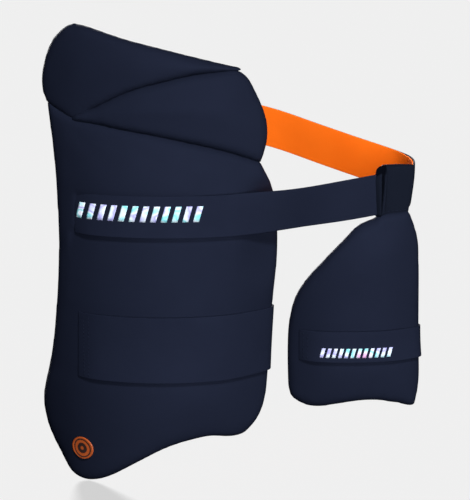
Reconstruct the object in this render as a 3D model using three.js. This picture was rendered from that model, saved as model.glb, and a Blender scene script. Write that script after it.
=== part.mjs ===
// A thigh guard: a hip and outer-thigh pad, an inner-thigh pad, a waist belt and two leg straps.
// Millimetres, +Z up. The origin is the centre of the waist loop at the middle of the belt's width.
// +X runs from the outer pad to the inner pad, and -Y faces away from the wearer.

import * as THREE from 'three';

// Clearances between pieces that touch on the real object: layers, bands on a pad, and pads at a seam
const CLEARANCE = 0.4;
const BAND_CLEARANCE = 0.6;
const SEAM_GAP = 0.6;

// The belt: two layers of cloth, and the bearing, rise and forward lean of its free run past the inner pad
const BELT = {
  width: 39,
  middle: 0,
  cloth: 1.5,
  lining: 1.0,
  liningInset: 0.6,
  rows: 4,
  startX: -142.5,
  leavesBeforeX: 0,
  bearing: 24,
  uprightX: 111,
  cornerX: 161,
  rise: 8,
  lean: 9,
};
const BELT_OUTSIDE = BELT.lining + CLEARANCE + BELT.cloth;
const LINING = { width: BELT.width - 2 * BELT.liningInset, middle: BELT.middle, rows: BELT.rows };

// The leg straps: where each starts on the front of its pad, and its place and size
const THIGH_STRAP = { width: 64, middle: -127, cloth: 2.0, rows: 4, startX: -139.5 };
const INNER_STRAP = { width: 30, middle: -140.5, cloth: 1.8, rows: 3, startX: 62.5 };

// The end of a belt or strap that is sewn to the inside of a pad, and its distance from the pad's edge
const SEWN_END = { length: 30, inset: 24 };

// The sleeve that carries the inner pad, measured about the belt inside it
const LOOP = { startX: 131, wall: 1.8, room: 0.8, top: 32.8, bottom: -17.5 };

// The round badge near the lower outer corner
const BADGE = { x: -136.5, z: -227.5, radius: 12, sides: 24 };

// Padding: half thickness at the edge, how far the front crowns, and how far in it takes to crown
const OUTER_PADDING = { half: 8, crown: 4.5, reach: 45 };
const INNER_PADDING = { half: 6.5, crown: 4, reach: 35 };

// How far in from an edge the padding takes to reach its half thickness, and its share of that at the edge
const FREE_EDGE = { roll: 8, share: 0 };
const SEAM_EDGE = { roll: 6, share: 0.4 };

// Levels of each pad: radius of the curve round the leg, and x and y of its foremost line
const OUTER_LEVELS = [
  { height: -270, radius: 142, axis: -66, front: -100 },
  { height: -122, radius: 150, axis: -66, front: -102 },
  { height: 0, radius: 200, axis: -62, front: -99 },
  { height: 90, radius: 196, axis: -63, front: -96 },
  { height: 190, radius: 184, axis: -66, front: -91 },
];
const INNER_LEVELS = [
  { height: -240, radius: 160, axis: 104, front: -45 },
  { height: -120, radius: 160, axis: 104, front: -45 },
  { height: -20, radius: 165, axis: 88, front: -51 },
  { height: 30, radius: 165, axis: 88, front: -51 },
];

// Outlines seen from the front. Rows run left to right along hems and seams, and upwards along sides.
const HIP_SEAM = [
  { x: -171.5, z: 100.5 },
  { x: -160, z: 92.5 },
  { x: -144.5, z: 86.5 },
  { x: -112.5, z: 79.5 },
  { x: -70.5, z: 72.5 },
  { x: -12, z: 57.5 },
  { x: 22.5, z: 43.5 },
];
const SEAM_JUNCTION_ROW = 2;
const CREST_SEAM = [
  { x: -117, z: 103 },
  { x: -93, z: 115 },
  { x: -69.5, z: 121.7 },
  { x: -41, z: 128.4 },
  { x: 0, z: 132 },
];
const CREST_TOP = [
  { x: -146, z: 172.5 },
  { x: -131.5, z: 169.5 },
  { x: -103.5, z: 161.5 },
  { x: -62.5, z: 151.5 },
  { x: -17.5, z: 139.3 },
  { x: 1.5, z: 133 },
];
const CREST_OUTER_SIDE = [
  { x: -176, z: 109.5 },
  { x: -176.3, z: 117.5 },
  { x: -173.7, z: 133.5 },
  { x: -168, z: 151.5 },
  { x: -158, z: 166 },
];
const WEDGE_FRONT_SIDE = [
  { x: 28.5, z: 66 },
  { x: 26.7, z: 87 },
  { x: 17.3, z: 110.3 },
  { x: 10, z: 125 },
];
const THIGH_HEM = [
  { x: -165.5, z: -234.5 },
  { x: -153.5, z: -254.8 },
  { x: -140, z: -262 },
  { x: -121, z: -257 },
  { x: -90.5, z: -238.5 },
  { x: -61, z: -222.3 },
  { x: -30.5, z: -214.7 },
  { x: -10, z: -217 },
  { x: 5.5, z: -216 },
];
const THIGH_OUTER_SIDE = [
  { x: -174, z: -212.5 },
  { x: -178, z: -192 },
  { x: -168.5, z: -135 },
  { x: -162.5, z: -60 },
  { x: -162, z: 4 },
  { x: -167.5, z: 68 },
];
const THIGH_FRONT_SIDE = [
  { x: 17, z: -207 },
  { x: 25.3, z: -189 },
  { x: 29, z: -156.5 },
  { x: 33, z: -92.5 },
  { x: 38, z: -40.5 },
  { x: 36, z: 2.5 },
  { x: 31, z: 26 },
];
const INNER_HEM = [
  { x: 52, z: -192 },
  { x: 64.7, z: -201.5 },
  { x: 78.5, z: -202.6 },
  { x: 105, z: -197.5 },
  { x: 132.5, z: -195.5 },
  { x: 155.7, z: -201.5 },
  { x: 168.5, z: -203 },
];
const INNER_NECK = [
  { x: 131.5, z: -17.9 },
  { x: 161, z: -17.9 },
];
const INNER_NEAR_SIDE = [
  { x: 51, z: -181.5 },
  { x: 51.2, z: -122 },
  { x: 57.3, z: -95.5 },
  { x: 82, z: -59.3 },
  { x: 108.5, z: -30.5 },
];
const INNER_FAR_SIDE = [
  { x: 173, z: -187 },
  { x: 172.5, z: -132 },
  { x: 171.5, z: -64 },
  { x: 170, z: -38 },
];

// The belt behind the wearer, from the corner past the inner pad round to the outer pad's inside
const BELT_BACK = [
  { x: 163.5, y: -24, rise: 8.3 },
  { x: 164.5, y: -6, rise: 8.6 },
  { x: 159.5, y: 12, rise: 9.5 },
  { x: 149, y: 25.5, rise: 11 },
  { x: 114, y: 48, rise: 18 },
  { x: 81, y: 73, rise: 24 },
  { x: 27, y: 116, rise: 33 },
  { x: -25, y: 141, rise: 36 },
  { x: -75, y: 144, rise: 36 },
  { x: -122, y: 116, rise: 34 },
  { x: -148, y: 68, rise: 31 },
  { x: -158, y: 15, rise: 29 },
  { x: -157, y: -22, rise: 28 },
  { x: -150, y: -48, rise: 28 },
];

// Each leg strap behind its pad, from the front side round the leg to the outer side
const THIGH_STRAP_BACK = [
  { x: 27, y: -20, rise: 0 },
  { x: 15, y: 30, rise: 0 },
  { x: -20, y: 66, rise: 0 },
  { x: -62, y: 78, rise: 0 },
  { x: -104, y: 66, rise: 0 },
  { x: -139, y: 30, rise: 0 },
  { x: -151, y: -12, rise: 0 },
  { x: -150, y: -42, rise: 0 },
];
const INNER_STRAP_BACK = [
  { x: 166, y: 2, rise: 0 },
  { x: 152, y: 48, rise: 0 },
  { x: 112, y: 70, rise: 0 },
  { x: 74, y: 48, rise: 0 },
  { x: 59, y: 8, rise: 0 },
  { x: 60, y: -14, rise: 0 },
];

// Sections of the sleeve along the belt: its hem swells, and its first corner is rounded off
const LOOP_SECTIONS = [
  { along: 0, swell: 0.2, drop: 2.8 },
  { along: 1.2, swell: 1.0, drop: 1.4 },
  { along: 4.2, swell: 1.2, drop: 0.2 },
  { along: 5.6, swell: 0, drop: 0 },
  { along: 18, swell: 0, drop: 0.8 },
  { along: 32.4, swell: 0, drop: 2 },
];

// Rings of the badge from its middle to its rim and back underneath
const BADGE_RINGS = [
  { reach: 0.42, lift: 1.5 },
  { reach: 0.78, lift: 1.5 },
  { reach: 0.86, lift: 2.0 },
  { reach: 0.96, lift: 2.0 },
  { reach: 1.0, lift: 1.4 },
  { reach: 1.0, lift: CLEARANCE },
  { reach: 0.5, lift: CLEARANCE },
];

// Fineness of the meshes
const EDGE_STEPS = 90;
const RIM_STEPS = [0.1, 0.45, 1];
const RIM_ANGLES = [60, 35, 12, -12, -35];
const FRONT_STEPS = 14;
const LEAVING_STEPS = 56;
const FREE_STEPS = 8;
const BACK_STEPS_PER_ROW = 3;
const SEWN_STEPS = 4;
const LOOP_ARC_STEPS = 6;
const SLOPE_STEP = 0.5;
const PAD_STEPS = {
  thigh: { across: 16, up: 20 },
  hipLower: { across: 14, up: 6 },
  hipUpper: { across: 14, up: 5 },
  inner: { across: 8, up: 13 },
};

const lerp = THREE.MathUtils.lerp;
const radians = THREE.MathUtils.degToRad;
const BELT_SLOPE = Math.tan(radians(BELT.bearing));

function evenly(count, from, to) {
  return Array.from({ length: count + 1 }, (_, i) => lerp(from, to, i / count));
}

// The curved middle surface of a pad: its point and its outward normal over a place seen from the front
function wrappedSurface(levels) {
  const heights = levels.map((level) => level.height);
  const values = levels.flatMap((level) => [level.radius, level.axis, level.front]);
  const columns = new THREE.CubicInterpolant(heights, values, 3);
  const depth = (x, z) => {
    const [radius, axis, front] = columns.evaluate(z);
    return front + radius - Math.sqrt(radius ** 2 - (x - axis) ** 2);
  };
  return (x, z) => {
    const slopeX = (depth(x + SLOPE_STEP, z) - depth(x - SLOPE_STEP, z)) / (2 * SLOPE_STEP);
    const slopeZ = (depth(x, z + SLOPE_STEP) - depth(x, z - SLOPE_STEP)) / (2 * SLOPE_STEP);
    return {
      point: new THREE.Vector3(x, depth(x, z), z),
      normal: new THREE.Vector3(slopeX, -1, slopeZ).normalize(),
    };
  };
}

// Outlines are lines of evenly spaced points in the front view
function lineThrough(rows) {
  const points = rows.map((row) => new THREE.Vector3(row.x, 0, row.z));
  return new THREE.CatmullRomCurve3(points, false, 'centripetal').getSpacedPoints(EDGE_STEPS);
}

function raised(line, height) {
  return line.map((point) => new THREE.Vector3(point.x, 0, point.z + height));
}

function pointOn(line, share) {
  const place = share * (line.length - 1);
  const index = Math.min(Math.floor(place), line.length - 2);
  return line[index].clone().lerp(line[index + 1], place - index);
}

function respaced(points) {
  const path = new THREE.CurvePath();
  points.slice(1).forEach((point, i) => path.add(new THREE.LineCurve3(points[i], point)));
  return path.getSpacedPoints(EDGE_STEPS);
}

function between(line, fromX, toX) {
  return respaced(line.filter((point) => point.x >= fromX && point.x <= toX));
}

function distanceTo(line, point) {
  const segment = new THREE.Line3();
  const nearest = new THREE.Vector3();
  const distances = line.slice(1).map((end, i) => {
    segment.set(line[i], end).closestPointToPoint(point, true, nearest);
    return nearest.distanceTo(point);
  });
  return Math.min(...distances);
}

function xAtHeight(line, z) {
  const index = line.findIndex((point, i) => i > 0 && (line[i - 1].z - z) * (point.z - z) <= 0);
  const low = line[index - 1];
  const high = line[index];
  return lerp(low.x, high.x, (z - low.z) / (high.z - low.z));
}

// A point of the patch that is stretched between four edges
function patchPoint({ bottom, top, left, right }, u, v) {
  const point = new THREE.Vector3();
  point.addScaledVector(pointOn(bottom.line, u), 1 - v).addScaledVector(pointOn(top.line, u), v);
  point.addScaledVector(pointOn(left.line, v), 1 - u).addScaledVector(pointOn(right.line, v), u);
  point.addScaledVector(bottom.line[0], -(1 - u) * (1 - v)).addScaledVector(bottom.line.at(-1), -u * (1 - v));
  return point.addScaledVector(top.line[0], -(1 - u) * v).addScaledVector(top.line.at(-1), -u * v);
}

// Shares of a length, closer together where the padding rolls over at both ends
function patchStations(length, count) {
  const rim = RIM_STEPS.map((step) => (step * FREE_EDGE.roll) / length);
  const middle = evenly(count, rim.at(-1), 1 - rim.at(-1)).slice(1, -1);
  return [0, ...rim, ...middle, ...rim.map((share) => 1 - share).reverse(), 1];
}

function meshGeometry(points, triangles) {
  const geometry = new THREE.BufferGeometry().setFromPoints(points);
  geometry.setIndex(triangles.flat());
  geometry.computeVertexNormals();
  return geometry;
}

// A padded panel: four edges on a curved surface, thin at its edges and crowned on its front
class Pad {
  constructor(surface, padding, edges) {
    this.surface = surface;
    this.padding = padding;
    this.edges = edges;
  }

  // Half thickness of the padding on the front and on the back, over a place seen from the front
  halves(x, z) {
    const place = new THREE.Vector3(x, 0, z);
    const sides = Object.values(this.edges).map(({ line, kind }) => {
      const distance = distanceTo(line, place);
      const roll = Math.sqrt(1 - (1 - Math.min(distance / kind.roll, 1)) ** 2);
      return { distance, share: lerp(kind.share, 1, roll) };
    });
    const share = Math.min(...sides.map((side) => side.share));
    const inset = Math.min(...sides.map((side) => side.distance));
    const back = this.padding.half * share;
    const crown = this.padding.crown * THREE.MathUtils.smoothstep(inset, 0, this.padding.reach);
    return { front: back + crown, back };
  }

  onFront(x, z, lift = 0) {
    const { point, normal } = this.surface(x, z);
    return point.addScaledVector(normal, this.halves(x, z).front + lift);
  }

  onBack(x, z, lift = 0) {
    const { point, normal } = this.surface(x, z);
    return point.addScaledVector(normal, -this.halves(x, z).back - lift);
  }

  solid({ across, up }) {
    const { bottom, top, left } = this.edges;
    const spanX = bottom.line[0].distanceTo(bottom.line.at(-1));
    const middleZ = pointOn(top.line, 0.5).distanceTo(pointOn(bottom.line, 0.5));
    const spanZ = Math.max(middleZ, left.line[0].distanceTo(left.line.at(-1)));
    const columns = patchStations(spanX, across);
    const rows = patchStations(spanZ, up);
    const points = [];
    const front = [];
    const back = [];
    rows.forEach((v) => {
      front.push([]);
      back.push([]);
      columns.forEach((u) => {
        const { x, z } = patchPoint(this.edges, u, v);
        const thin = this.halves(x, z).back < CLEARANCE;
        front.at(-1).push(points.length);
        points.push(thin ? this.surface(x, z).point : this.onFront(x, z));
        back.at(-1).push(thin ? points.length - 1 : points.length);
        if (!thin) points.push(this.onBack(x, z));
      });
    });
    const triangles = [];
    const lastColumn = columns.length - 1;
    const lastRow = rows.length - 1;
    for (let j = 0; j < lastRow; j += 1) {
      for (let i = 0; i < lastColumn; i += 1) {
        const falling = (i === 0) === (j === lastRow - 1) && (i === 0 || i === lastColumn - 1);
        triangles.push(...splitCell(front, i, j, falling));
        triangles.push(...splitCell(back, i, j, falling).map(([a, b, c]) => [a, c, b]));
      }
    }
    const rim = [
      ...columns.map((_, i) => [0, i]),
      ...rows.map((_, j) => [j, lastColumn]),
      ...columns.map((_, i) => [lastRow, lastColumn - i]),
      ...rows.map((_, j) => [lastRow - j, 0]),
    ];
    rim.slice(1).forEach(([j, i], k) => {
      const [m, n] = rim[k];
      const wall = [[back[m][n], back[j][i], front[j][i]], [back[m][n], front[j][i], front[m][n]]];
      triangles.push(...wall.filter((corners) => new Set(corners).size === 3));
    });
    return meshGeometry(points, triangles);
  }
}

// Two triangles of a grid's cell, split so that each reaches the inside of the grid
function splitCell(grid, i, j, falling) {
  const a = grid[j][i];
  const b = grid[j][i + 1];
  const c = grid[j + 1][i + 1];
  const d = grid[j + 1][i];
  return falling ? [[a, b, d], [b, c, d]] : [[a, b, c], [a, c, d]];
}

// Directions to the right of a route seen from above, which is the outside of a loop
function outwards(route) {
  return route.map((_, i) => {
    const before = route[Math.max(i - 1, 0)];
    const after = route[Math.min(i + 1, route.length - 1)];
    const along = new THREE.Vector3(after.x - before.x, after.y - before.y, 0).normalize();
    return new THREE.Vector3(along.y, -along.x, 0);
  });
}

function offset(route, lift) {
  const directions = outwards(route);
  return route.map((point, i) => point.clone().addScaledVector(directions[i], lift));
}

// A closed band between two faces, given as routes from its lower edge to its upper edge
function bandSolid(innerRoutes, outerRoutes) {
  const points = [];
  const grid = (routes) => routes.map((route) => route.map((point) => points.push(point) - 1));
  const inner = grid(innerRoutes);
  const outer = grid(outerRoutes);
  const last = inner[0].length - 1;
  const upper = inner.length - 1;
  const triangles = [];
  const quad = (a, b, c, d) => triangles.push([a, b, c], [a, c, d]);
  for (let j = 0; j < upper; j += 1) {
    for (let i = 0; i < last; i += 1) {
      quad(outer[j][i], outer[j][i + 1], outer[j + 1][i + 1], outer[j + 1][i]);
      quad(inner[j][i], inner[j + 1][i], inner[j + 1][i + 1], inner[j][i + 1]);
    }
    quad(inner[j][0], outer[j][0], outer[j + 1][0], inner[j + 1][0]);
    quad(inner[j][last], inner[j + 1][last], outer[j + 1][last], outer[j][last]);
  }
  for (let i = 0; i < last; i += 1) {
    quad(outer[upper][i], outer[upper][i + 1], inner[upper][i + 1], inner[upper][i]);
    quad(outer[0][i], inner[0][i], inner[0][i + 1], outer[0][i + 1]);
  }
  return meshGeometry(points, triangles);
}

// The stretch behind the wearer, from the last points of the front to the first points of the sewn end
function backStretch(before, rows, after, height) {
  const middle = rows.map((row) => new THREE.Vector3(row.x, row.y, height + row.rise));
  const rise = rows.at(-1).rise;
  const end = after.map((point) => new THREE.Vector3(point.x, point.y, height + rise));
  const curve = new THREE.CatmullRomCurve3([...before, ...middle, ...end], false, 'centripetal');
  const parts = before.length + middle.length + end.length - 1;
  const from = (before.length - 1) / parts;
  const to = (before.length + middle.length) / parts;
  const steps = BACK_STEPS_PER_ROW * (rows.length + 1);
  return evenly(steps, from, to).slice(1, -1).map((share) => curve.getPoint(share));
}

// The end that is sewn to the inside of a pad, from its outer side inwards
function sewnEnd(pad, side, z, lift) {
  const edgeX = xAtHeight(side, z);
  const startX = edgeX + SEWN_END.inset;
  const places = evenly(SEWN_STEPS, startX, startX + SEWN_END.length);
  return places.map((x) => pad.onBack(x, z, lift).setZ(z));
}

// The inside of a leg strap at one height: over the pad's front, round its edge, behind the leg, sewn end
function strapRoute(pad, strap, backRows, height) {
  const edgeX = xAtHeight(pad.edges.right.line, height);
  const places = evenly(FRONT_STEPS, strap.startX, edgeX - FREE_EDGE.roll);
  const front = places.map((x) => pad.onFront(x, height));
  const rim = RIM_ANGLES.map((angle) => {
    const x = edgeX - FREE_EDGE.roll * (1 - Math.cos(radians(angle)));
    return angle > 0 ? pad.onFront(x, height) : pad.onBack(x, height);
  });
  const start = offset([...front, ...rim].map((point) => point.setZ(height)), BAND_CLEARANCE);
  const end = sewnEnd(pad, pad.edges.left.line, height, BAND_CLEARANCE + strap.cloth);
  const back = backStretch(start.slice(-2), backRows, end.slice(0, 2), height);
  return [...start, ...back, ...end];
}

// The belt's run on the pad's front, up to where it leaves the pad along its bearing
function beltOnPad(pad, height) {
  const places = evenly(LEAVING_STEPS, BELT.startX, BELT.leavesBeforeX);
  const face = places.map((x) => pad.onFront(x, height, BAND_CLEARANCE).setZ(height));
  const reach = face.map((point) => point.y - BELT_SLOPE * point.x);
  const leaving = reach.indexOf(Math.min(...reach));
  return evenly(FRONT_STEPS, 0, leaving / (face.length - 1)).map((share) => pointOn(face, share));
}

// A point of the belt's free run after it leaves the pad: it sags, so it rises most near its corner
function onFreeRun(leave, x) {
  const share = (x - leave.x) / (BELT.cornerX - leave.x);
  return new THREE.Vector3(x, leave.y + BELT_SLOPE * (x - leave.x), leave.z + BELT.rise * share ** 2);
}

// The free run at one height: its upper edge leans forward on the way, and it stands upright at the sleeve
function beltFreeRun(pad, leave) {
  const middle = beltOnPad(pad, BELT.middle).at(-1);
  const leaning = (BELT.lean * (leave.z - BELT.middle)) / BELT.width;
  return evenly(FREE_STEPS, leave.x, BELT.cornerX).slice(1).map((x) => {
    const upright = THREE.MathUtils.smoothstep(x, leave.x, BELT.uprightX);
    const own = onFreeRun(leave, x);
    const lean = leaning * Math.sin(Math.PI * upright);
    return own.setY(lerp(own.y, onFreeRun(middle, x).y, upright) - lean);
  });
}

// The inside of the belt at one height: over the pad's front, straight to its corner, behind, sewn end
function beltRoute(pad, height) {
  const front = beltOnPad(pad, height);
  const free = beltFreeRun(pad, front.at(-1));
  const sewnHeight = height + BELT_BACK.at(-1).rise;
  const end = sewnEnd(pad, pad.edges.left.line, sewnHeight, BAND_CLEARANCE + BELT_OUTSIDE);
  const back = backStretch(free.slice(-2), BELT_BACK, end.slice(0, 2), height);
  return [...front, ...free, ...back, ...end];
}

// A layer of a band, between two distances from the route that its inside takes
function bandAlong(routeAt, { middle, width, rows }, inside, outside) {
  const heights = evenly(rows - 1, middle - width / 2, middle + width / 2);
  const routes = heights.map(routeAt);
  const innerRoutes = routes.map((route) => offset(route, inside));
  const outerRoutes = routes.map((route) => offset(route, outside));
  return bandSolid(innerRoutes, outerRoutes);
}

// A flat loop of points with round ends, as wide as the sleeve at one of its sections
function sleeveSection(halfWidth, bottom, top) {
  const lowerArc = evenly(LOOP_ARC_STEPS, 180, 360);
  const upperArc = evenly(LOOP_ARC_STEPS, 0, 180);
  const arc = (angles, z) => angles.map((angle) => ({
    across: halfWidth * Math.cos(radians(angle)),
    z: z + halfWidth * Math.sin(radians(angle)),
  }));
  return [...arc(lowerArc, bottom + halfWidth), ...arc(upperArc, top - halfWidth)];
}

// The sleeve: a wall round the belt, along the belt's free run
function loopSolid(pad) {
  const along = new THREE.Vector3(Math.cos(radians(BELT.bearing)), Math.sin(radians(BELT.bearing)), 0);
  const across = new THREE.Vector3(along.y, -along.x, 0);
  const start = onFreeRun(beltOnPad(pad, BELT.middle).at(-1), LOOP.startX);
  start.addScaledVector(across, BELT_OUTSIDE / 2);
  const insideHalf = BELT_OUTSIDE / 2 + LOOP.room;
  const points = [];
  const place = (section, outline) => outline.map((corner) => {
    const middle = start.clone().addScaledVector(along, section.along);
    return points.push(middle.addScaledVector(across, corner.across).setZ(corner.z)) - 1;
  });
  const inner = LOOP_SECTIONS.map((section) => place(
    section,
    sleeveSection(insideHalf, LOOP.bottom + LOOP.wall, LOOP.top - LOOP.wall - section.drop),
  ));
  const outer = LOOP_SECTIONS.map((section) => place(
    section,
    sleeveSection(insideHalf + LOOP.wall + section.swell, LOOP.bottom, LOOP.top - section.drop),
  ));
  const triangles = [];
  const quad = (a, b, c, d) => triangles.push([a, b, c], [a, c, d]);
  const last = LOOP_SECTIONS.length - 1;
  const count = outer[0].length;
  for (let k = 0; k < count; k += 1) {
    const next = (k + 1) % count;
    for (let i = 0; i < last; i += 1) {
      quad(outer[i][k], outer[i + 1][k], outer[i + 1][next], outer[i][next]);
      quad(inner[i][k], inner[i][next], inner[i + 1][next], inner[i + 1][k]);
    }
    quad(outer[0][k], outer[0][next], inner[0][next], inner[0][k]);
    quad(outer[last][k], inner[last][k], inner[last][next], outer[last][next]);
  }
  return meshGeometry(points, triangles);
}

// The badge: a low round disc with a raised rim, bent to the front of its pad
function badgeSolid(pad) {
  const { normal } = pad.surface(BADGE.x, BADGE.z);
  const narrowing = Math.abs(normal.y) / Math.hypot(normal.x, normal.y);
  const spot = (reach, angle, lift) => pad.onFront(
    BADGE.x + BADGE.radius * reach * narrowing * Math.cos(angle),
    BADGE.z + BADGE.radius * reach * Math.sin(angle),
    lift,
  );
  const angles = evenly(BADGE.sides, 0, 2 * Math.PI).slice(0, -1);
  const points = [spot(0, 0, BADGE_RINGS[0].lift), spot(0, 0, BADGE_RINGS.at(-1).lift)];
  const ringOf = ({ reach, lift }) => angles.map((angle) => points.push(spot(reach, angle, lift)) - 1);
  const rings = BADGE_RINGS.map(ringOf);
  const triangles = [];
  angles.forEach((_, k) => {
    const next = (k + 1) % angles.length;
    triangles.push([0, rings[0][k], rings[0][next]], [1, rings.at(-1)[next], rings.at(-1)[k]]);
    rings.slice(1).forEach((ring, i) => {
      triangles.push([rings[i][k], ring[k], ring[next]], [rings[i][k], ring[next], rings[i][next]]);
    });
  });
  return meshGeometry(points, triangles);
}

// Seams that two pads share
const junction = HIP_SEAM[SEAM_JUNCTION_ROW];
const hipSeam = lineThrough(HIP_SEAM);
const crestSeam = lineThrough([junction, ...CREST_SEAM]);
const wedgeStartX = junction.x + SEAM_EDGE.roll / 2;
const crestBottom = respaced([...hipSeam.filter((point) => point.x < junction.x), ...crestSeam]);

// An edge of a pad: a free edge rolls over further than a seam
function freeEdge(line) {
  return { line, kind: FREE_EDGE };
}

function seamEdge(line, height) {
  return { line: raised(line, height), kind: SEAM_EDGE };
}

function sideEdge(bottom, rows, top, atEnd) {
  const place = atEnd ? -1 : 0;
  return freeEdge(lineThrough([bottom.line.at(place), ...rows, top.line.at(place)]));
}

function padBetween(surface, padding, bottom, outerRows, frontRows, top) {
  const left = sideEdge(bottom, outerRows, top, false);
  const right = sideEdge(bottom, frontRows, top, true);
  return new Pad(surface, padding, { bottom, top, left, right });
}

const outerSurface = wrappedSurface(OUTER_LEVELS);
const innerSurface = wrappedSurface(INNER_LEVELS);

const thighPad = padBetween(
  outerSurface,
  OUTER_PADDING,
  freeEdge(lineThrough(THIGH_HEM)),
  THIGH_OUTER_SIDE,
  THIGH_FRONT_SIDE,
  seamEdge(hipSeam, -SEAM_GAP / 2),
);
const hipWedge = padBetween(
  outerSurface,
  OUTER_PADDING,
  seamEdge(between(hipSeam, wedgeStartX, hipSeam.at(-1).x), SEAM_GAP / 2),
  [],
  WEDGE_FRONT_SIDE,
  seamEdge(between(crestSeam, wedgeStartX, crestSeam.at(-1).x), -SEAM_GAP / 2),
);
const hipCrest = padBetween(
  outerSurface,
  OUTER_PADDING,
  seamEdge(crestBottom, SEAM_GAP / 2),
  CREST_OUTER_SIDE,
  [],
  freeEdge(lineThrough(CREST_TOP)),
);
const innerPad = padBetween(
  innerSurface,
  INNER_PADDING,
  freeEdge(lineThrough(INNER_HEM)),
  INNER_NEAR_SIDE,
  INNER_FAR_SIDE,
  seamEdge(lineThrough(INNER_NECK), 0),
);

const beltAt = (height) => beltRoute(thighPad, height);
const thighStrapAt = (height) => strapRoute(thighPad, THIGH_STRAP, THIGH_STRAP_BACK, height);
const innerStrapAt = (height) => strapRoute(innerPad, INNER_STRAP, INNER_STRAP_BACK, height);

function fabric(color, roughness) {
  return new THREE.MeshStandardMaterial({ color, roughness, metalness: 0 });
}

const navyCover = fabric('#21283b', 0.85);
const navyElastic = fabric('#24293c', 0.8);
const orangeElastic = fabric('#ff7117', 0.8);
const orangeRubber = fabric('#d9641c', 0.5);

const pieces = [
  ['thigh_pad', thighPad.solid(PAD_STEPS.thigh), navyCover],
  ['hip_pad_lower', hipWedge.solid(PAD_STEPS.hipLower), navyCover],
  ['hip_pad_upper', hipCrest.solid(PAD_STEPS.hipUpper), navyCover],
  ['inner_thigh_pad', innerPad.solid(PAD_STEPS.inner), navyCover],
  ['hanger_loop', loopSolid(thighPad), navyCover],
  ['waist_belt', bandAlong(beltAt, BELT, BELT.lining + CLEARANCE, BELT_OUTSIDE), navyElastic],
  ['belt_lining', bandAlong(beltAt, LINING, 0, BELT.lining), orangeElastic],
  ['thigh_strap', bandAlong(thighStrapAt, THIGH_STRAP, 0, THIGH_STRAP.cloth), navyElastic],
  ['inner_strap', bandAlong(innerStrapAt, INNER_STRAP, 0, INNER_STRAP.cloth), navyElastic],
  ['round_badge', badgeSolid(thighPad), orangeRubber],
];

const thighGuard = new THREE.Group();
pieces.forEach(([name, geometry, material]) => {
  const mesh = new THREE.Mesh(geometry, material);
  mesh.name = name;
  thighGuard.add(mesh);
});

export default thighGuard;
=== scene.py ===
"""The looks of a thigh guard: foam pads in a cloth cover, an elastic waist belt and two leg straps."""

import math

import bmesh
import bpy
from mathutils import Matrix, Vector
from mathutils.bvhtree import BVHTree


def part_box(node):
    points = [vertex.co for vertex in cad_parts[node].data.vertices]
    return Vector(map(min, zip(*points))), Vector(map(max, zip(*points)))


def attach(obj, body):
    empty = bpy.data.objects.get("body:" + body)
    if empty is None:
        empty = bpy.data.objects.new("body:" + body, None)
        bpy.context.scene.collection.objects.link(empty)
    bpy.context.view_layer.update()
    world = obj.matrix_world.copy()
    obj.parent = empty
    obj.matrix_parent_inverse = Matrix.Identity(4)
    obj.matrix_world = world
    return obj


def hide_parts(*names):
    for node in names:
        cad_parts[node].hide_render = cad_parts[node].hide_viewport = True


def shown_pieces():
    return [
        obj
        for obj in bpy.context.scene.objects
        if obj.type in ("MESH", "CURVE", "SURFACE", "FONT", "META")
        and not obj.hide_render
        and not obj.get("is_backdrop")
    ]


MM = 0.001

# The photograph's view
CAMERA_DISTANCE = 3.4
CAMERA_ELEVATION = 15.0
CAMERA_TARGET = Vector((0, 0, -0.0612))
CAMERA_LENS = 258.3
SENSOR = 36.0

# The floor, a little under the outer pad's lowest corner, and the surround
FLOOR_HEIGHT = -0.2632
FLOOR_REACH = 14.0
FLOOR_GLOW = 0.64
FLOOR_COLOUR = (0.30, 0.30, 0.30)
WORLD_COLOUR = (0.865, 0.865, 0.865)

# Copies of the frame's meshes: points this close are one, and triangles this flat are joined, in degrees
WELD = 0.002 * MM
QUAD_ANGLE = 50

# Pads: the size of the cover's faces, their smoothing, and where a face looks for the form under it
VOXEL = 3.2 * MM
SMOOTH_SHARE = 0.5
SMOOTH_ROUNDS = 3
SNAP_FROM = 2 * MM
SNAP_TO = 8 * MM

# Foam: how far the cover stands back at first, and how far it swells, also where a band holds it down
START_INSET = 1.0 * MM
SWELL = 1.25 * MM
LEAST_SWELL = 0.8 * MM
SWELL_UNDER_BAND = 0.85 * MM
BAND_SHOULDER = 6 * MM

# The cloth simulation of the covers, and the rounds that even out its result
PRESSURE = 4.0
CLOTH_QUALITY = 5
LAST_FRAME = 20
EVEN_ROUNDS = 3

# How far each pad's own edges stand out once it is filled: left, bottom, right and top
EDGE_GROWS = {
    "thigh_pad": (0.6 * MM, 0.6 * MM, 0.6 * MM, 0),
    "hip_pad_lower": (0, 0, 0.6 * MM, 0),
    "hip_pad_upper": (0.6 * MM, 0, 0, 0.9 * MM),
    "inner_thigh_pad": (0.9 * MM, 0.8 * MM, 0.6 * MM, 0),
}

# Seams between pads: how close two pads are there, and how far the sewing presses them together
SEAM_NEAR = 0.8 * MM
SEAM_FAR = 2.0 * MM
SEAM_PRESS = 0.6 * MM

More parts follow.
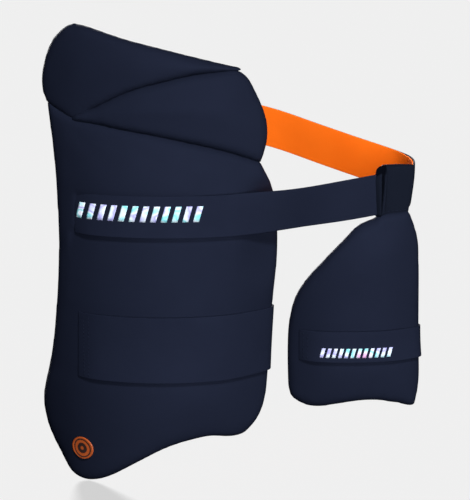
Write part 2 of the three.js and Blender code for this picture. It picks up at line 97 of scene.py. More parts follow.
# Corners and edges of each pad, drawn out to meet their neighbours or pressed in a little
POINTS = {
    "hip_pad_upper": [
        {"at": (0.0015, -0.0824, 0.1330), "radius": 0.024, "move": (0.0076, 0, -0.0010)},
        {"at": (-0.1490, -0.0800, 0.1725), "radius": 0.011, "move": (0, 0, -0.0024)},
        {"at": (-0.1430, -0.0800, 0.0877), "radius": 0.018, "move": (0.001, 0, -0.005)},
    ],
    "hip_pad_lower": [
        {"at": (-0.1419, -0.0834, 0.0859), "radius": 0.022, "move": (-0.008, 0, -0.001)},
    ],
    "thigh_pad": [
        {"at": (-0.1640, -0.0680, -0.2400), "radius": 0.030, "move": (0.0013, 0, 0.0006)},
        {"at": (-0.0188, -0.0970, -0.2146), "radius": 0.022, "move": (0, 0, 0.0013)},
    ],
    "inner_thigh_pad": [
        {"at": (0.1180, -0.0460, -0.0260), "radius": 0.022, "move": (-0.0012, 0, 0.0022)},
        {"at": (0.0670, -0.0445, -0.0800), "radius": 0.044, "move": (-0.0013, 0, 0.0009)},
        {"at": (0.0515, -0.0375, -0.1920), "radius": 0.009, "move": (0.0014, 0, -0.0004)},
        {"at": (0.1665, -0.0345, -0.2010), "radius": 0.013, "move": (0.0004, 0, -0.0018)},
    ],
}

# The outer pad's free edge bends back under the belt, between the middle two of these heights
BEND_BACK = 9 * MM
BEND_FROM = 0.000
BEND_TO = 0.036
BEND_HEIGHTS = (-0.080, -0.030, 0.012, 0.034)

# The belt on the outer pad: its sewn end, its edges, and where it leaves the pad
BELT_END = -0.1485
BELT_TOP = 0.0198
BELT_BOTTOM = -0.0195
BELT_LIES_TO = -0.050
BELT_LEAVES_AT = -0.010

# The outer pad swells up to the belt's face, above the belt and beside its sewn end
FLUSH_RISE = 1.8 * MM
FLUSH_UNDER = 6 * MM
FLUSH_SOFT = 24 * MM
FLUSH_FADE = 34 * MM
FLUSH_FACING = 0.4

# Bands on a pad: the belt's upper edge and all sewn ends sink in, and lower edges stand off a little
EDGE_SINK = 2.2 * MM
EDGE_LIFT = 1.2 * MM
EDGE_BAND = 12 * MM
END_SINK = 1.4 * MM
THIGH_STRAP_END = -0.1450
INNER_STRAP_END = 0.0585
ON_PAD = 9 * MM

# The thigh strap's lower edge is drawn up a little, more towards the pad's free edge
STRAP_RISE = (1.4 * MM, 2.8 * MM)
STRAP_RISE_SIDE = (-0.020, 0.030)

# The inner pad's neck runs up into the sleeve
NECK_FROM = -0.040
NECK_TO = -0.018
NECK_RISE = 4.5 * MM
NECK_SIDE = (0.128, 0.140)

# Heights that the belt and straps cover on each pad
OUTER_BANDS = [(-0.1595, -0.0945), (-0.020, 0.020)]
INNER_BANDS = [(-0.156, -0.125)]

# Bands: their rounded edges, how far apart the two edges of a band may lie, and the pitch of their ribs
BAND_BEVEL = 0.45 * MM
BEVEL_STEPS = 2
BEVEL_ANGLE = 50
BAND_REACH = 8 * MM
RIB_PITCH = 1.3 * MM

# Colours, as linear values
NAVY = (0.0066, 0.0086, 0.0174)
NAVY_DEEP = (0.0057, 0.0074, 0.0151)
NAVY_ELASTIC = (0.0070, 0.0091, 0.0184)
NAVY_ELASTIC_DEEP = (0.0060, 0.0078, 0.0160)
NAVY_SLEEVE = (0.0043, 0.0057, 0.0104)
NAVY_SLEEVE_DEEP = (0.0036, 0.0048, 0.0090)
# Painted shade: a near-black navy for the sheet in the sleeve's mouth, standing in for the shade inside
# that hollow
PAINTED_SHADE_NAVY = (0.0012, 0.0015, 0.0028)
PAINTED_SHADE_NAVY_DEEP = (0.0009, 0.0011, 0.0021)
NAVY_THREAD = (0.0078, 0.0102, 0.0200)
ORANGE = (0.96, 0.170, 0.010)
ORANGE_DEEP = (0.90, 0.150, 0.008)
BADGE_ORANGE = (0.27, 0.052, 0.010)
BADGE_BROWN = (0.020, 0.009, 0.008)
# The foil's colours are painted reflection: the rainbow shimmer and bright white of a shiny foil, laid
# into its colour as fixed patches
FOIL_WHITE = (0.58, 0.66, 0.74)
FOIL_CYAN = (0.14, 0.50, 0.56)
FOIL_LILAC = (0.28, 0.27, 0.58)
FOIL_ROSE = (0.56, 0.32, 0.56)

# Gloss: its tint and its level
NAVY_GLOSS = (0.40, 0.50, 0.98)
NAVY_GLOSS_LEVEL = 0.088
SLEEVE_GLOSS_LEVEL = 0.06
# The painted shade in the sleeve's mouth gets little gloss, so that it stays dark
PAINTED_SHADE_GLOSS_LEVEL = 0.02
ORANGE_GLOSS = (1.0, 0.6, 0.3)
ORANGE_GLOSS_LEVEL = 0.10
FOIL_GLOSS = (1.0, 1.0, 1.0)
FOIL_GLOSS_LEVEL = 0.15

# Surfaces: scales of their noises, roughness from least to most, and reliefs as strength and height
COVER_LOOK = {
    "patches": 9,
    "sheen": 60,
    "roughness": (0.55, 0.68),
    "knit_pitch": 1.1 * MM,
    "knit_relief": (0.12, 0.12 * MM),
    "fuzz": 700,
    "fuzz_relief": (0.10, 0.10 * MM),
}
ELASTIC_LOOK = {
    "patches": 14,
    "sheen": 80,
    "roughness": (0.58, 0.72),
    "rib_relief": (0.16, 0.10 * MM),
    "fuzz": 900,
    "fuzz_relief": (0.12, 0.10 * MM),
}
FOIL_LOOK = {
    "drift": 38,
    "drift_detail": 1,
    "drift_stretch": (1, 1, 2),
    "sheen": 300,
    "roughness": (0.40, 0.55),
    "grain": 1500,
    "grain_relief": (0.08, 0.05 * MM),
}
BADGE_LOOK = {"grain": 500, "roughness": (0.45, 0.6), "grain_relief": (0.15, 0.1 * MM)}
THREAD_LOOK = {"twist": 1800, "roughness": (0.45, 0.6)}

# Colour patches: the detail of their noise, and its values where one colour turns into the next
PATCH_DETAIL = 3
PATCH_VALUES = (0.3, 0.7)
TWIST_VALUES = (0.35, 0.65)
# Painted reflection: the foil's shimmer, as colours along a drifting noise
FOIL_PAINTED_REFLECTION_STOPS = [
    (0.28, FOIL_CYAN),
    (0.38, FOIL_WHITE),
    (0.46, FOIL_LILAC),
    (0.53, FOIL_WHITE),
    (0.60, FOIL_CYAN),
    (0.67, FOIL_WHITE),
    (0.76, FOIL_ROSE),
]

# The badge's rings, by their share of its radius
BADGE_STOPS = [
    (0.18, BADGE_ORANGE),
    (0.24, BADGE_BROWN),
    (0.46, BADGE_BROWN),
    (0.52, BADGE_ORANGE),
    (0.70, BADGE_ORANGE),
    (0.76, BADGE_BROWN),
    (0.82, BADGE_BROWN),
    (0.88, BADGE_ORANGE),
]

# A wave texture's phase at a scale of 1, in radians for each unit of length
WAVE_PHASE = 20

# Slanted bars printed on the belt and on the inner strap: place of the row, and size of a bar
BELT_BARS = {
    "first": -0.1445,
    "last": -0.0265,
    "count": 12,
    "middle": 0.0028,
    "height": 0.0145,
    "share": 0.55,
}
STRAP_BARS = {
    "first": 0.0805,
    "last": 0.1495,
    "count": 12,
    "middle": -0.1463,
    "height": 0.009,
    "share": 0.58,
}
BAR_SLANT = 0.28
BAR_LIFT = 0.12 * MM
BAR_ROWS = 4

# Prints and stitches are laid on the cloth from this far in front
FRONT = -0.4

# Stitches, and the sections of one: share of its length, and its rise and size as shares of its radius
STITCH_LENGTH = 2.4 * MM
STITCH_PITCH = 3.6 * MM
STITCH_RADIUS = 0.28 * MM
STITCH_SIDES = 6
STITCH_SECTIONS = [
    {"share": 0, "rise": -1.2, "size": 0.55},
    {"share": 0.15, "rise": -0.1, "size": 0.95},
    {"share": 0.5, "rise": 0.25, "size": 1.0},
    {"share": 0.85, "rise": -0.1, "size": 0.95},
    {"share": 1, "rise": -1.2, "size": 0.55},
]

# Rows of stitches, each from one place to another, as width and height seen from the front
THIGH_STRAP_STITCHES = [
    ((-0.1400, -0.1560), (-0.1400, -0.0980)),
    ((-0.1355, -0.1560), (-0.1355, -0.0980)),
]
INNER_STRAP_STITCHES = [
    ((0.0640, -0.1535), (0.0640, -0.1275)),
    ((0.0680, -0.1535), (0.0680, -0.1275)),
]
SLEEVE_STITCHES = [
    ((0.1375, -0.0120), (0.1600, -0.0120)),
    ((0.1375, -0.0150), (0.1600, -0.0150)),
]

# The sleeve: its far edge reaches over the belt's corner, on its front face alone
SLEEVE_START = Vector((0.131, -0.0456, 0))
SLEEVE_BEARING = 24.0
SLEEVE_WIDTH = 33 * MM
SLEEVE_REACH = 5.6 * MM
SLEEVE_FRONT = 2 * MM

# The sleeve's hem: pairs are a value at the bottom and one at the top, counted from the sleeve's start
HEM_LEFT = (0.6 * MM, -1.3 * MM)
HEM_BULGE = 1.6
HEM_WALL = 0.5 * MM
HEM_ROWS = 16
HEM_COLUMNS = 12
HEM_ARCH = 5.0 * MM

# The hem's roll, and a sheet in the sleeve's mouth above and beside it, coloured near-black as painted
# shade for that hollow
ROLL = {
    "right": (3.4 * MM, 3.7 * MM),
    "heights": (-0.0160, 0.0185),
    "stands": (2.0 * MM, 5.2 * MM),
    "arch_rise": 6.5 * MM,
}
MOUTH_PAINTED_SHADE = {
    "right": (6.0 * MM, 8.0 * MM),
    "heights": (-0.0130, 0.0235),
    "stands": (1.5 * MM, 3.9 * MM),
    "arch_rise": 8.7 * MM,
}

# The sleeve's panel starts beside the hem, and its first upper corner is lowered
PANEL_LEFT = (3.5 * MM, 6.2 * MM)
PANEL_PLACE = 12 * MM
CORNER_PLACE = 8 * MM
CORNER_DROP_FROM = 0.010
CORNER_DROP = 0.32

# The belt's corner inside the sleeve is pushed out and its lower edge tucked in, and its front run dips
TUCK = 4.0 * MM
TUCK_FROM = 0.158
TUCK_TO = 0.166
CORNER_OUT = 1.5 * MM
BELT_DIP = 0.8 * MM
BELT_DIP_FROM = 0.010
BELT_DIP_TO = 0.050

# The lining's upper edge, between the front and back runs and at the belt's corner
LINING_RISE = 1.0 * MM
LINING_DROP = 1.2 * MM
LINING_FROM = -0.038
LINING_TO = -0.024
LINING_CORNER = (0.154, 0.166)

# The badge: its radius in the frame, and the share of it that shows above the cloth
BADGE_RADIUS = 12 * MM
BADGE_SHARE = 0.93

# Soft boxes: place, what they aim at, width and height, and power
BOXES = [
    {"name": "front", "at": (0.65, -2.8, 0.10), "aim": (0, 0, -0.06), "size": (0.9, 2.0), "watts": 86},
    {"name": "side", "at": (2.2, -1.2, 0.3), "aim": (0, 0, -0.05), "size": (1.4, 1.4), "watts": 15},
    {"name": "back", "at": (-0.9, 2.4, 0.6), "aim": (0, 0, -0.05), "size": (1.6, 1.6), "watts": 130},
]

# Distant lights: one from above for the object, and a low one from behind for the floor's short shadow
KEY = {"azimuth": 12, "elevation": 50, "spread": 10, "strength": 4.2}
FLOOR_LIGHT = {"azimuth": 192, "elevation": 15, "spread": 12, "strength": 9.1}

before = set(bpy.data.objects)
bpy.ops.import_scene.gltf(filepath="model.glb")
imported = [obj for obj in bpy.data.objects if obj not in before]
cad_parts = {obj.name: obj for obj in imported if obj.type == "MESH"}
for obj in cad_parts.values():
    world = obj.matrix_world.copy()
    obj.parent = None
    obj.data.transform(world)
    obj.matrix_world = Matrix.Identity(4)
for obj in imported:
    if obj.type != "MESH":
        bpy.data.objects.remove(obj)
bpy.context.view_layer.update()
scene = bpy.context.scene


def smooth_step(value, low, high):
    share = min(max((value - low) / (high - low), 0), 1)
    return share * share * (3 - 2 * share)


def mix(pair, share):
    return pair[0] + (pair[1] - pair[0]) * share


def evenly(count, first, last):
    return [first + (last - first) * step / count for step in range(count + 1)]


def add_object(name, data):
    thing = bpy.data.objects.new(name, data)
    scene.collection.objects.link(thing)
    return thing


def finish_piece(piece, slot, *nodes):
    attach(piece, "root")
    if nodes:
        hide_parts(*nodes)


def copied(node, name):
    """A copy of a node's mesh, with its flat pairs of triangles joined into quads."""
    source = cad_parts[node]
    mesh = source.data.copy()
    mesh.transform(source.matrix_world)
    mesh.materials.clear()
    work = bmesh.new()
    work.from_mesh(mesh)
    bmesh.ops.remove_doubles(work, verts=work.verts, dist=WELD)
    bmesh.ops.join_triangles(
        work,
        faces=work.faces,
        angle_face_threshold=math.radians(QUAD_ANGLE),
        angle_shape_threshold=math.radians(QUAD_ANGLE),
    )
    bmesh.ops.recalc_face_normals(work, faces=work.faces)
    work.to_mesh(mesh)
    work.free()
    for attribute in ("custom_normal", "sharp_edge", "sharp_face"):
        if attribute in mesh.attributes:
            mesh.attributes.remove(mesh.attributes[attribute])
    mesh.shade_smooth()
    return add_object(name, mesh)


def made_piece(name, work, slot, *materials):
    """A new piece from closed faces that were made one by one."""
    bmesh.ops.recalc_face_normals(work, faces=work.faces)
    mesh = bpy.data.meshes.new(name)
    work.to_mesh(mesh)
    work.free()
    for material in materials:
        mesh.materials.append(material)
    mesh.shade_smooth()
    piece = add_object(name, mesh)
    finish_piece(piece, slot)
    return piece


def apply_modifiers(piece):
    evaluated = piece.evaluated_get(bpy.context.evaluated_depsgraph_get())
    mesh = bpy.data.meshes.new_from_object(evaluated)
    piece.modifiers.clear()
    piece.data = mesh


def subdivide(piece, levels):
    modifier = piece.modifiers.new("subdivision", "SUBSURF")
    modifier.levels = levels
    modifier.render_levels = levels


def tree_of(piece):
    return BVHTree.FromObject(piece, bpy.context.evaluated_depsgraph_get())


# Materials


class Shader:
    """A material and its nodes, added one at a time."""

    def __init__(self, name):
        self.material = bpy.data.materials.new(name)
        self.material.use_nodes = True
        self.tree = self.material.node_tree
        self.surface = self.tree.nodes["Principled BSDF"]
        self.coordinates = self.tree.nodes.new("ShaderNodeTexCoord").outputs["Object"]

    def link(self, output, socket):
        self.tree.links.new(output, socket)

    def noise(self, scale, detail=2.0, stretch=(1, 1, 1)):
        mapping = self.tree.nodes.new("ShaderNodeMapping")
        mapping.inputs["Scale"].default_value = stretch
        self.link(self.coordinates, mapping.inputs["Vector"])
        node = self.tree.nodes.new("ShaderNodeTexNoise")
        node.inputs["Scale"].default_value = scale
        node.inputs["Detail"].default_value = detail
        self.link(mapping.outputs["Vector"], node.inputs["Vector"])
        return node.outputs["Fac"]

    def wave(self, pitch, direction):
        node = self.tree.nodes.new("ShaderNodeTexWave")
        node.wave_type = "BANDS"
        node.bands_direction = direction
        node.inputs["Scale"].default_value = 2 * math.pi / (WAVE_PHASE * pitch)
        self.link(self.coordinates, node.inputs["Vector"])
        return node.outputs["Fac"]

    def attribute(self, name):
        node = self.tree.nodes.new("ShaderNodeAttribute")
        node.attribute_name = name
        return node.outputs["Fac"]

    def maths(self, operation, first, second=None):
        node = self.tree.nodes.new("ShaderNodeMath")
        node.operation = operation
        for value, socket in zip((first, second), node.inputs):
            if isinstance(value, (int, float)):
                socket.default_value = value
            elif value is not None:
                self.link(value, socket)
        return node.outputs["Value"]

    def ramp(self, factor, *stops):
        node = self.tree.nodes.new("ShaderNodeValToRGB")
        elements = node.color_ramp.elements
        while len(elements) < len(stops):
            elements.new(0.5)
        for element, (place, colour) in zip(elements, stops):
            element.position = place
            element.color = (*colour, 1)
        self.link(factor, node.inputs["Fac"])
        return node.outputs["Color"]

    def colour(self, output):
        self.link(output, self.surface.inputs["Base Color"])

    def rough(self, factor, low, high):
        node = self.tree.nodes.new("ShaderNodeMapRange")
        node.inputs["To Min"].default_value = low
        node.inputs["To Max"].default_value = high
        self.link(factor, node.inputs["Value"])
        self.link(node.outputs["Result"], self.surface.inputs["Roughness"])

    def bump(self, *layers):
        """Layers of height, each with a strength and a distance, one on top of the other."""
        normal = None
        for height, strength, distance in layers:
            node = self.tree.nodes.new("ShaderNodeBump")
            node.inputs["Strength"].default_value = strength
            node.inputs["Distance"].default_value = distance
            self.link(height, node.inputs["Height"])
            if normal is not None:
                self.link(normal, node.inputs["Normal"])
            normal = node.outputs["Normal"]
        self.link(normal, self.surface.inputs["Normal"])

    def gloss(self, specular, tint):
        self.surface.inputs["Specular IOR Level"].default_value = specular
        self.surface.inputs["Specular Tint"].default_value = (*tint, 1)


def cover_cloth(name, light, deep, specular):
    shader = Shader(name)
    patches = shader.noise(COVER_LOOK["patches"], PATCH_DETAIL)
    shader.colour(shader.ramp(patches, *zip(PATCH_VALUES, (deep, light))))
    shader.rough(shader.noise(COVER_LOOK["sheen"]), *COVER_LOOK["roughness"])
    shader.gloss(specular, NAVY_GLOSS)
    courses = shader.wave(COVER_LOOK["knit_pitch"], "Z")
    wales = shader.wave(COVER_LOOK["knit_pitch"], "X")
    knit = shader.maths("MULTIPLY", courses, wales)
    fuzz = shader.noise(COVER_LOOK["fuzz"])
    shader.bump((knit, *COVER_LOOK["knit_relief"]), (fuzz, *COVER_LOOK["fuzz_relief"]))
    return shader.material


def elastic_cloth(name, light, deep, specular, tint):
    shader = Shader(name)
    patches = shader.noise(ELASTIC_LOOK["patches"], PATCH_DETAIL)
    shader.colour(shader.ramp(patches, *zip(PATCH_VALUES, (deep, light))))
    shader.rough(shader.noise(ELASTIC_LOOK["sheen"]), *ELASTIC_LOOK["roughness"])
    shader.gloss(specular, tint)
    turns = shader.maths("MULTIPLY", shader.attribute("across"), 2 * math.pi / RIB_PITCH)
    ribs = shader.maths("SINE", turns)
    fuzz = shader.noise(ELASTIC_LOOK["fuzz"])
    shader.bump((ribs, *ELASTIC_LOOK["rib_relief"]), (fuzz, *ELASTIC_LOOK["fuzz_relief"]))
    return shader.material


def foil_print_and_painted_reflection():
    shader = Shader("foil_print_and_painted_reflection")
    drift = shader.noise(FOIL_LOOK["drift"], FOIL_LOOK["drift_detail"], FOIL_LOOK["drift_stretch"])
    # Painted reflection: the foil's rainbow shimmer and white glare are its base colour, not its gloss
    shader.colour(shader.ramp(drift, *FOIL_PAINTED_REFLECTION_STOPS))
    shader.rough(shader.noise(FOIL_LOOK["sheen"]), *FOIL_LOOK["roughness"])
    shader.gloss(FOIL_GLOSS_LEVEL, FOIL_GLOSS)
    shader.bump((shader.noise(FOIL_LOOK["grain"]), *FOIL_LOOK["grain_relief"]))
    return shader.material


def badge_rubber():
    shader = Shader("badge_rubber")
    grain = shader.noise(BADGE_LOOK["grain"])
    shader.colour(shader.ramp(shader.attribute("reach"), *BADGE_STOPS))
    shader.rough(grain, *BADGE_LOOK["roughness"])
    shader.bump((grain, *BADGE_LOOK["grain_relief"]))
    return shader.material


def thread():
    shader = Shader("navy_thread")
    twist = shader.noise(THREAD_LOOK["twist"])
    shader.colour(shader.ramp(twist, *zip(TWIST_VALUES, (NAVY_DEEP, NAVY_THREAD))))
    shader.rough(twist, *THREAD_LOOK["roughness"])
    shader.gloss(NAVY_GLOSS_LEVEL, NAVY_GLOSS)
    return shader.material


def floor_paint():
    material = bpy.data.materials.new("pale_floor")
    material.use_nodes = True
    sockets = material.node_tree.nodes["Principled BSDF"].inputs
    sockets["Base Color"].default_value = (*FLOOR_COLOUR, 1)
    sockets["Roughness"].default_value = 1.0
    sockets["Specular IOR Level"].default_value = 0.0
    sockets["Emission Color"].default_value = (1, 1, 1, 1)
    sockets["Emission Strength"].default_value = FLOOR_GLOW
    return material


COVER = cover_cloth("navy_cover", NAVY, NAVY_DEEP, NAVY_GLOSS_LEVEL)
SLEEVE = cover_cloth("navy_sleeve", NAVY_SLEEVE, NAVY_SLEEVE_DEEP, SLEEVE_GLOSS_LEVEL)
# Painted shade: near-black cloth for the sheet in the sleeve's mouth
SLEEVE_PAINTED_SHADE = cover_cloth("sleeve_painted_shade", PAINTED_SHADE_NAVY, PAINTED_SHADE_NAVY_DEEP, PAINTED_SHADE_GLOSS_LEVEL)
ELASTIC = elastic_cloth("navy_elastic", NAVY_ELASTIC, NAVY_ELASTIC_DEEP, NAVY_GLOSS_LEVEL, NAVY_GLOSS)
LINING = elastic_cloth("orange_elastic", ORANGE, ORANGE_DEEP, ORANGE_GLOSS_LEVEL, ORANGE_GLOSS)
FOIL = foil_print_and_painted_reflection()
RUBBER = badge_rubber()
THREAD = thread()


# Pads


def smooth_form(node):
    """A node's own shape, smoothed, and stretched back to its width and height with fuller edges."""
    form = copied(node, node + "_form")
    subdivide(form, 2)
    apply_modifiers(form)
    left, bottom, right, top = EDGE_GROWS[node]
    low = Vector(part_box(node)[0]) - Vector((left, 0, bottom))
    high = Vector(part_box(node)[1]) + Vector((right, 0, top))
    points = [vertex.co.copy() for vertex in form.data.vertices]
    for axis in (0, 2):
        least = min(point[axis] for point in points)
        most = max(point[axis] for point in points)
        stretch = (high[axis] - low[axis]) / (most - least)
        for vertex, point in zip(form.data.vertices, points):
            vertex.co[axis] = low[axis] + (point[axis] - least) * stretch
    return form


OUTER_PADS = ["thigh_pad", "hip_pad_lower", "hip_pad_upper"]
FORMS = {node: smooth_form(node) for node in [*OUTER_PADS, "inner_thigh_pad"]}
TREES = {node: tree_of(form) for node, form in FORMS.items()}


def swell_limit(height, bands):
    """How far the cover may swell at a height: less where a band holds it down."""
    held = 0
    for low, high in bands:
        over_low = smooth_step(height, low - BAND_SHOULDER, low)
        under_high = 1 - smooth_step(height, high, high + BAND_SHOULDER)
        held = max(held, over_low * under_high)
    return SWELL + (SWELL_UNDER_BAND - SWELL) * held


def evened(mesh, values):
    """Values at the points of a mesh, each brought closer to its neighbours'."""
    pairs = [tuple(edge.vertices) for edge in mesh.edges]
    for _ in range(EVEN_ROUNDS):
        sums = list(values)
        counts = [1] * len(values)
        for first, second in pairs:
            sums[first] += values[second]
            sums[second] += values[first]
            counts[first] += 1
            counts[second] += 1
        values = [total / count for total, count in zip(sums, counts)]
    return values


def simulate(piece, seams):
    """The cover's cloth under the pressure of its foam, held where it is sewn."""
    sewn = piece.vertex_groups.new(name="sewn")
    for index, seam in enumerate(seams):
        sewn.add([index], seam, "REPLACE")
    cloth = piece.modifiers.new("cloth", "CLOTH")
    cloth.settings.use_pressure = True
    cloth.settings.uniform_pressure_force = PRESSURE
    cloth.settings.effector_weights.gravity = 0
    cloth.settings.quality = CLOTH_QUALITY
    cloth.settings.vertex_group_mass = "sewn"
    cloth.point_cache.frame_start = 1
    cloth.point_cache.frame_end = LAST_FRAME
    for step in range(1, LAST_FRAME + 1):
        scene.frame_set(step)
    apply_modifiers(piece)
    scene.frame_set(1)


def swell(piece, bands, seams):
    """The cover is blown up by its foam, and held in where it is sewn or a band crosses it."""
    starts = [vertex.co.copy() for vertex in piece.data.vertices]
    normals = [vertex.normal.copy() for vertex in piece.data.vertices]
    simulate(piece, seams)
    rises = []
    for vertex, start, normal in zip(piece.data.vertices, starts, normals):
        rise = max((vertex.co - start).dot(normal), LEAST_SWELL)
        rises.append(min(rise, swell_limit(start.z, bands)))
    rises = evened(piece.data, rises)
    for index, vertex in enumerate(piece.data.vertices):
        vertex.co = starts[index] + normals[index] * rises[index] * (1 - seams[index])


def drawn_out(node, point):
    """How far a pad's corner or edge is moved, or its free edge bent back, at a place."""
    move = Vector((0, 0, 0))
    if node == "thigh_pad":
        bottom, low, high, top = BEND_HEIGHTS
        level = smooth_step(point.z, bottom, low) * (1 - smooth_step(point.z, high, top))
        move.y = BEND_BACK * smooth_step(point.x, BEND_FROM, BEND_TO) * level
    for row in POINTS[node]:
        away = (point - Vector(row["at"])).length
        move += Vector(row["move"]) * (1 - smooth_step(away, 0, row["radius"]))
    return move


def even_faces(piece):
    """The surface of a piece made again from small faces of one size."""
    remesh = piece.modifiers.new("even_faces", "REMESH")
    remesh.mode = "VOXEL"
    remesh.voxel_size = VOXEL
    smooth = piece.modifiers.new("smooth", "SMOOTH")
    smooth.factor = SMOOTH_SHARE
    smooth.iterations = SMOOTH_ROUNDS
    apply_modifiers(piece)


def on_form(tree, point, normal):
    """The place on a form's surface that belongs to a point of the cover."""
    place = tree.ray_cast(point - normal * SNAP_FROM, normal, SNAP_TO)[0]
    if place is None:
        place = tree.find_nearest(point)[0]
    return place


def pad_cover(node, neighbours, bands):
    """A pad in its cloth cover: laid on the pad's form, pressed at its seams and filled with foam."""
    piece = add_object(node + "_cover", FORMS[node].data.copy())
    even_faces(piece)
    seams = []
    normals = [vertex.normal.copy() for vertex in piece.data.vertices]
    inset = START_INSET
    for vertex, normal in zip(piece.data.vertices, normals):
        place = on_form(TREES[node], vertex.co, normal)
        gaps = [TREES[other].find_nearest(place)[3] for other in neighbours]
        seam = 1 - smooth_step(min(gaps, default=SEAM_FAR), SEAM_NEAR, SEAM_FAR)
        press = SEAM_PRESS * seam - inset * (1 - seam)
        vertex.co = place + normal * press + drawn_out(node, place)
        seams.append(seam)
    swell(piece, bands, seams)
    piece.data.materials.clear()
    piece.data.materials.append(COVER)
    piece.data.shade_smooth()
    subdivide(piece, 1)
    finish_piece(piece, "cover", node)
    return piece


def flush_rise(point):
    """How far the outer pad stands up to the belt's face, above the belt and beside its sewn end."""
    above = point.z - BELT_TOP
    beside = BELT_END - point.x
    rise = smooth_step(max(above, beside), -FLUSH_UNDER, 0)
    fade = 1 - smooth_step(math.hypot(max(above, 0), max(beside, 0)), 0, FLUSH_FADE)
    soft = FLUSH_SOFT * smooth_step(beside, 0, FLUSH_UNDER)
    over_lower_edge = smooth_step(point.z, BELT_BOTTOM - soft, BELT_BOTTOM + FLUSH_UNDER)
    lying = 1 - smooth_step(point.x, BELT_LIES_TO, BELT_LEAVES_AT)
    return FLUSH_RISE * rise * fade * over_lower_edge * lying


def swell_round_belt(mesh):
    """The outer pad's front stands up round the belt's sewn end."""
    normals = [vertex.normal.copy() for vertex in mesh.vertices]
    for vertex, normal in zip(mesh.vertices, normals):
        facing = smooth_step(-normal.y, 0, FLUSH_FACING)
        vertex.co = vertex.co + normal * flush_rise(vertex.co) * facing


def raise_neck(mesh):
    """The inner pad's neck runs up into the sleeve."""
    for vertex in mesh.vertices:
        across = smooth_step(vertex.co.x, *NECK_SIDE)
        vertex.co.z += NECK_RISE * smooth_step(vertex.co.z, NECK_FROM, NECK_TO) * across


# Belt and straps


def mark_across(mesh):
    """Each point's height above the band's lower edge, kept for the ribs of its cloth."""
    points = [vertex.co.copy() for vertex in mesh.vertices]
    marks = mesh.attributes.new("across", "FLOAT", "POINT")
    for index, point in enumerate(points):
        near = [other for other in points if (other - point).xy.length < BAND_REACH]
        marks.data[index].value = point.z - min(other.z for other in near)


def band(node, material, slot, shaping):
    """A belt or strap with rounded edges, drawn to its shape on the piece that carries it."""
    piece = copied(node, node + "_cloth")
    mark_across(piece.data)
    for vertex, mark in zip(piece.data.vertices, piece.data.attributes["across"].data):
        vertex.co = shaping(vertex.co, mark.value)
    bevel = piece.modifiers.new("edges", "BEVEL")
    bevel.width = BAND_BEVEL
    bevel.segments = BEVEL_STEPS
    bevel.limit_method = "ANGLE"
    bevel.angle_limit = math.radians(BEVEL_ANGLE)
    subdivide(piece, 2)
    apply_modifiers(piece)
    piece.data.materials.append(material)
    finish_piece(piece, slot, node)
    return piece


def pad_normal(point, pad):
    """The direction that a pad's front faces near a place, or none where the place is off that front."""
    _, normal, _, away = pad.find_nearest(point)
    if away > ON_PAD or normal.y > 0:
        return Vector((0, 0, 0))
    return normal


def edge_lift(point, across, pad, end):
    """A band's lower edge stands a little off the pad it lies on, and its sewn end sinks into the pad."""
    free = smooth_step(point.x, end, end + EDGE_BAND)
    lower = 1 - smooth_step(across, 0, EDGE_BAND)
    return pad_normal(point, pad) * (EDGE_LIFT * lower * free - END_SINK * (1 - free))


def edge_sink(point, across, pad):
    """The belt's upper edge sinks into the pad."""
    lying = 1 - smooth_step(point.x, BELT_LIES_TO, BELT_LEAVES_AT)
    upper = smooth_step(across, 2 * EDGE_BAND, 3 * EDGE_BAND) * lying
    return pad_normal(point, pad) * -EDGE_SINK * upper


def tucked(point):
    """The belt's lower edge is drawn in where it turns back in the sleeve, and its front run dips."""
    turn = smooth_step(point.x, TUCK_FROM, TUCK_TO)
    low = 1 - smooth_step(point.z, BELT_BOTTOM, BELT_TOP)
    front = 1 - smooth_step(point.y, LINING_FROM, LINING_TO)
    dip = BELT_DIP * smooth_step(point.x, BELT_DIP_FROM, BELT_DIP_TO) * front
    return Vector((point.x + (CORNER_OUT - TUCK * low) * turn, point.y, point.z - dip))


def belt_shape(point, across):
    pad = TREES["thigh_pad"]
    return tucked(point) + edge_lift(point, across, pad, BELT_END) + edge_sink(point, across, pad)


def lining_shape(point, across):
    """The lining follows the belt, and its upper edge stands up behind, where it shows."""
    behind = smooth_step(point.y, LINING_FROM, LINING_TO)
    corner = smooth_step(point.x, *LINING_CORNER)
    upper = smooth_step(across, EDGE_BAND, 2 * EDGE_BAND)
    rise = upper * (LINING_RISE * behind * (1 - corner) - LINING_DROP * (1 - behind))
    return tucked(point) + Vector((0, 0, rise)) + edge_sink(point, across, TREES["thigh_pad"])


def thigh_strap_shape(point, across):
    lower = 1 - smooth_step(across, 0, EDGE_BAND)
    rise = mix(STRAP_RISE, smooth_step(point.x, *STRAP_RISE_SIDE)) * lower
    lift = edge_lift(point, across, TREES["thigh_pad"], THIGH_STRAP_END)
    return point + Vector((0, 0, rise)) + lift


def inner_strap_shape(point, across):
    return point + edge_lift(point, across, TREES["inner_thigh_pad"], INNER_STRAP_END)


# The sleeve and the badge


def sleeve_axes():
    """The directions along the sleeve and out of its front face."""
    bearing = math.radians(SLEEVE_BEARING)
    along = Vector((math.cos(bearing), math.sin(bearing), 0))
    return along, Vector((along.y, -along.x, 0))


def strip_cells(first, second):
    """The corners of each face between two lines of points."""
    return list(zip(first, first[1:], second[1:], second))


def closed_sheet(work, outer, inner):
    """Faces for the two sides and the border of a thin sheet, each side given as rows of points."""
    cells = []
    for rows in (outer, inner):
        for below, above in zip(rows, rows[1:]):
            cells += strip_cells(below, above)
    for row in (0, -1):
        cells += strip_cells(outer[row], inner[row])
    for column in (0, -1):
        face = [row[column] for row in outer]
        back = [row[column] for row in inner]
        cells += strip_cells(face, back)
    return [work.faces.new(cell) for cell in cells]


